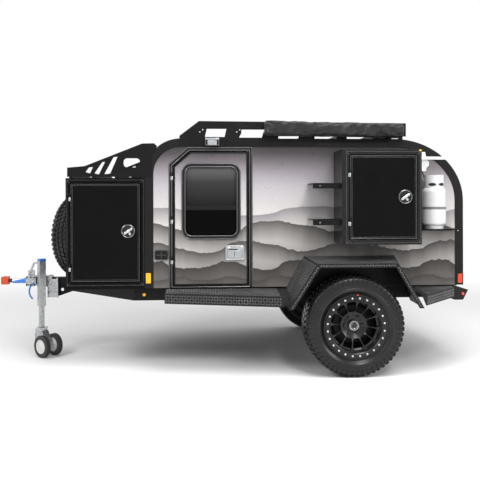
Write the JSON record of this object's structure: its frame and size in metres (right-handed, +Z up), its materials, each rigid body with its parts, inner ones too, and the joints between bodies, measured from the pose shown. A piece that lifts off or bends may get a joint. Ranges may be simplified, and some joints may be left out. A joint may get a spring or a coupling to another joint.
{
  "type": "teardrop trailer",
  "caption": "Off-road teardrop camping trailer with cabin doors, rear hatch, tongue box, side cabinet, racks, fenders and a jack.",
  "frame": {"origin": "on the ground under the middle of the overall length and width, parked level on its wheels and jack", "axes": "+X to the rear along the trailer, +Y to its right, +Z up; the coupling points along -X"},
  "size_m": [4.159, 2.214, 2.09],
  "materials": {
    "wrap": "satin printed film over aluminium composite",
    "box_panel": "satin printed film over aluminium",
    "cabinet_panel": "satin printed film over polished aluminium",
    "trim_black": "satin black",
    "steel_black": "satin black powder coat",
    "checker_black": "black powder coat on chequer plate",
    "rim_black": "satin black",
    "tyre": "matt",
    "jack_rubber": "grey wheels with a rubber tread",
    "chrome": "polished",
    "galvanised": "zinc plated",
    "window": "tinted acrylic",
    "vinyl": "coated cloth",
    "lamp": "die-cast housing with a clear lens",
    "amber_lens": "ribbed lens",
    "red_lens": "ribbed lens",
    "black_plastic": "moulded",
    "white_paint": "gloss",
    "blue_paint": "gloss",
    "orange_paint": "gloss",
    "wood": "film-faced plywood"
  },
  "bodies": {
    "trailer": {"amber_markers": "amber_lens", "awning_bag": "vinyl", "axle": "steel_black", "body_trim_left": "trim_black", "body_trim_right": "trim_black", "bottle_bracket": "white_paint", "bottle_tray": "steel_black", "bulkhead": "wood", "chassis_frame": "steel_black", "climbing_steps": "checker_black", "coupler_block": "steel_black", "coupler_head": "orange_paint", "coupler_sleeve": "blue_paint", "fender_left": "checker_black", "fender_right": "checker_black", "flood_lamp": "lamp", "floor_panel": "wood", "front_rack": "steel_black", "gas_bottle": "white_paint", "hand_brake": "galvanised", "hinge_posts": "chrome", "jack_column": "galvanised", "power_inlet": "black_plastic", "rear_bumper": "checker_black", "red_markers": "red_lens", "roof_rack": "steel_black", "roof_skin": "wrap", "running_board_left": "checker_black", "running_board_right": "checker_black", "side_cabinet": "cabinet_panel", "side_wall_left": "wrap", "side_wall_right": "wrap", "spare_carrier": "steel_black", "spare_rim": "rim_black", "spare_tyre": "tyre", "tongue_box": "box_panel"},
    "wheel_left": {"tyre_left": "tyre", "rim_left": "rim_black", "hub_left": "chrome"},
    "wheel_right": {"tyre_right": "tyre", "rim_right": "rim_black", "hub_right": "chrome"},
    "cabin_door_left": {"cabin_door_left": "wrap", "window_frame_left": "black_plastic", "window_glass_left": "window", "cabin_door_fittings_left": "chrome"},
    "cabin_door_right": {"cabin_door_right": "wrap", "window_frame_right": "black_plastic", "window_glass_right": "window", "cabin_door_fittings_right": "chrome"},
    "box_door": {"box_door": "box_panel", "box_door_fittings": "chrome"},
    "cabinet_door": {"cabinet_door": "cabinet_panel", "cabinet_door_fittings": "chrome"},
    "rear_hatch": {"rear_hatch": "wrap", "hatch_handle": "chrome"},
    "jack_leg": {"jack_leg": "galvanised"},
    "jack_fork": {"jack_fork": "steel_black"},
    "jack_wheels": {"jack_wheels": "jack_rubber"}
  },
  "joints": [
    {"name": "wheel_left_spin", "type": "hinge", "parent": "trailer", "child": "wheel_left", "pos_m": [1.0165, -0.967, 0.409], "axis": [0, 1, 0], "continuous": true},
    {"name": "wheel_right_spin", "type": "hinge", "parent": "trailer", "child": "wheel_right", "pos_m": [1.0165, 0.967, 0.409], "axis": [0, 1, 0], "continuous": true},
    {"name": "cabin_door_left_hinge", "type": "hinge", "parent": "trailer", "child": "cabin_door_left", "pos_m": [-0.4565, -0.777, 1.27], "axis": [0, 0, -1], "range_deg": [0, 95]},
    {"name": "cabin_door_right_hinge", "type": "hinge", "parent": "trailer", "child": "cabin_door_right", "pos_m": [-0.4565, 0.777, 1.27], "axis": [0, 0, 1], "range_deg": [0, 95]},
    {"name": "box_door_hinge", "type": "hinge", "parent": "trailer", "child": "box_door", "pos_m": [-1.2975, -0.777, 1.16], "axis": [0, 0, -1], "range_deg": [0, 110]},
    {"name": "cabinet_door_hinge", "type": "hinge", "parent": "trailer", "child": "cabinet_door", "pos_m": [0.9705, -1.094, 1.448], "axis": [0, 0, -1], "range_deg": [0, 110]},
    {"name": "rear_hatch_hinge", "type": "hinge", "parent": "trailer", "child": "rear_hatch", "pos_m": [1.4335, 0, 1.95], "axis": [0, -1, 0], "range_deg": [0, 80]},
    {"name": "jack_slide", "type": "slide", "parent": "trailer", "child": "jack_leg", "axis": [0, 0, 1], "range_m": [-0.1, 0.18]},
    {"name": "jack_swivel", "type": "hinge", "parent": "jack_leg", "child": "jack_fork", "pos_m": [-1.6935, -0.088, 0.2], "axis": [0, 0, 1], "continuous": true},
    {"name": "jack_wheel_spin", "type": "hinge", "parent": "jack_fork", "child": "jack_wheels", "pos_m": [-1.61803, -0.15361, 0.1], "axis": [0.6561, 0.7547, 0], "continuous": true}
  ]
}
